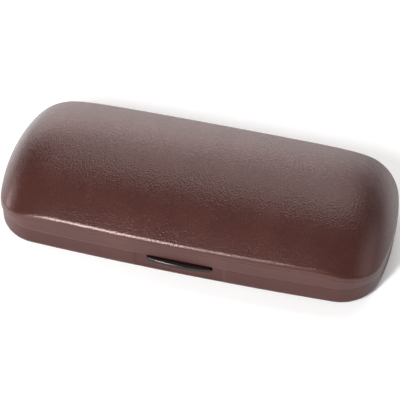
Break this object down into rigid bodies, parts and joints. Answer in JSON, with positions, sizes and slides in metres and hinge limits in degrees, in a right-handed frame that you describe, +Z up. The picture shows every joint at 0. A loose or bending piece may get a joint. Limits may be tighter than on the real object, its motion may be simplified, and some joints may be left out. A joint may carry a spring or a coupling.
{
  "type": "eyeglasses case",
  "caption": "Slim hard clamshell case for spectacles: crowned grained lid, shallow base, push-button latch at the front, soft lining inside.",
  "frame": {"origin": "middle of the case on its underside, halfway between the button's front and the hinge barrels' back", "axes": "+X along the case to the right seen from the button side, -Y towards the button, +Z up from the underside through the lid"},
  "size_m": [0.16, 0.0714, 0.03],
  "materials": {
    "shell_plastic": "moulded maroon-brown plastic, leather-grained on top, plain on the walls",
    "button_plastic": "glossy near-black brown plastic",
    "rim_plastic": "satin dark brown plastic",
    "velour": "short brown velour pile",
    "steel": "plated steel",
    "spring_steel": "bright spring wire"
  },
  "bodies": {
    "base": {"base_shell": "shell_plastic", "base_rim": "rim_plastic", "base_lining": "velour", "base_cushion": "velour", "hinge_pin_left": "steel", "hinge_pin_right": "steel", "latch_housing": "rim_plastic", "latch_cover": "rim_plastic", "latch_screws": "steel", "button_spring_left": "spring_steel", "button_spring_right": "spring_steel"},
    "lid": {"lid_shell": "shell_plastic", "lid_rim": "rim_plastic", "lid_lining": "velour", "striker": "steel", "striker_screws": "steel"},
    "button": {"push_button": "button_plastic", "latch_slide": "steel", "latch_slide_screws": "steel"}
  },
  "joints": [
    {"name": "lid_hinge", "type": "hinge", "parent": "base", "child": "lid", "pos_m": [0, 0.03375, 0.01], "axis": [-1, 0, 0], "range_deg": [0, 105]},
    {"name": "button_press", "type": "slide", "parent": "base", "child": "button", "axis": [0, 1, 0], "range_m": [0, 0.0014], "stiffness_N_per_m": 900, "deforming": ["button_spring_left", "button_spring_right"]}
  ]
}
